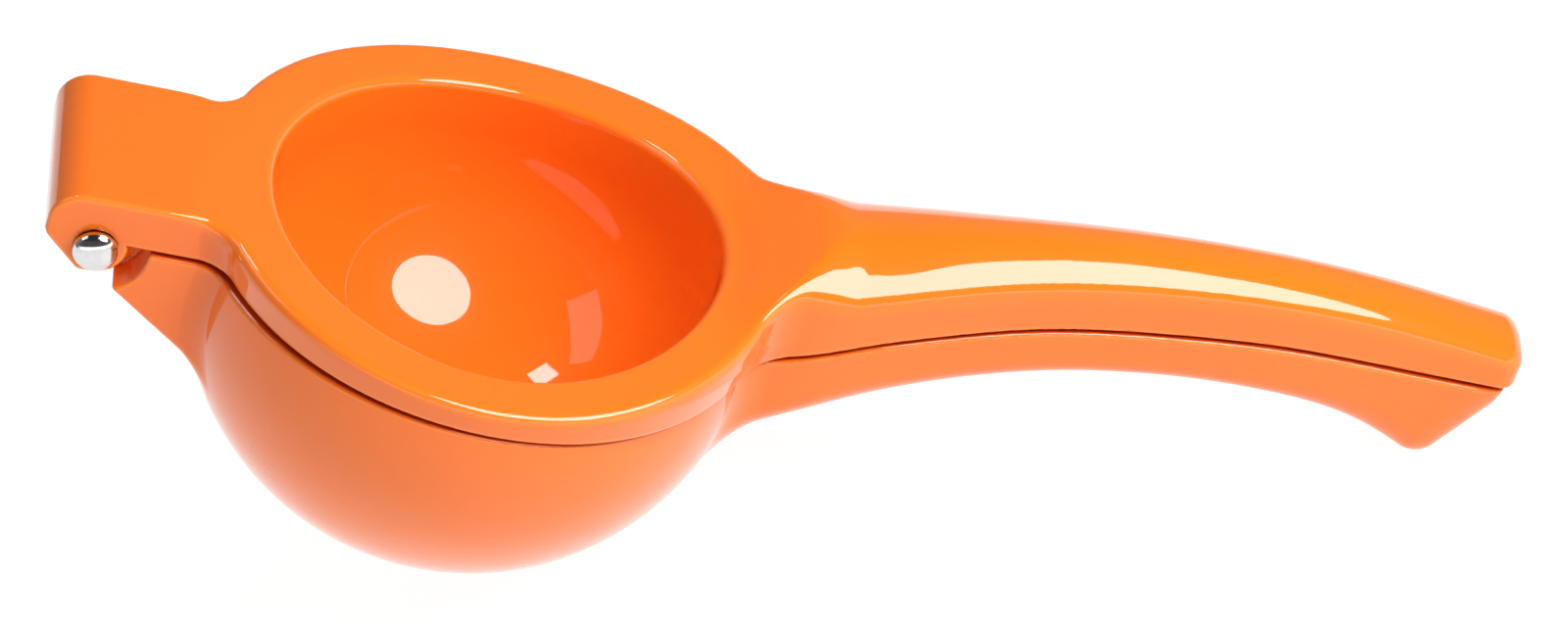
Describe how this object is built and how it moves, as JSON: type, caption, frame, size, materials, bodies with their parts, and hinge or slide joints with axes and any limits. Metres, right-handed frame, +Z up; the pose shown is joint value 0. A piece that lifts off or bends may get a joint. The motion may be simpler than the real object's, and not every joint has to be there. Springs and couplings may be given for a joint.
{
  "type": "hinged citrus press",
  "caption": "Hinged hand citrus press: a perforated bowl and a domed press cup on long hooked handles, joined by a domed rivet.",
  "frame": {"origin": "centre of the bounding box's footprint, at the surface that the closed press lies on: the lowest point of the bowl and the hooked end of the handles both touch z = 0", "axes": "+X from the hinge towards the hooked handle end, +Y across the press along the hinge pin, +Z up, away from the surface the press lies on"},
  "size_m": [0.236, 0.096, 0.0846],
  "materials": {
    "orange_enamel": "thick glossy orange enamel over cast aluminium",
    "chromed_steel": "polished, chrome plated steel"
  },
  "bodies": {
    "bowl_arm": {"lower_bowl_arm": "orange_enamel"},
    "press_arm": {"upper_press_arm": "orange_enamel", "hinge_rivet": "chromed_steel", "rivet_cap": "chromed_steel"}
  },
  "joints": [
    {"name": "press_hinge", "type": "hinge", "parent": "bowl_arm", "child": "press_arm", "pos_m": [-0.11024, 0, 0.07443], "axis": [0, -1, 0], "range_deg": [0, 98]}
  ]
}
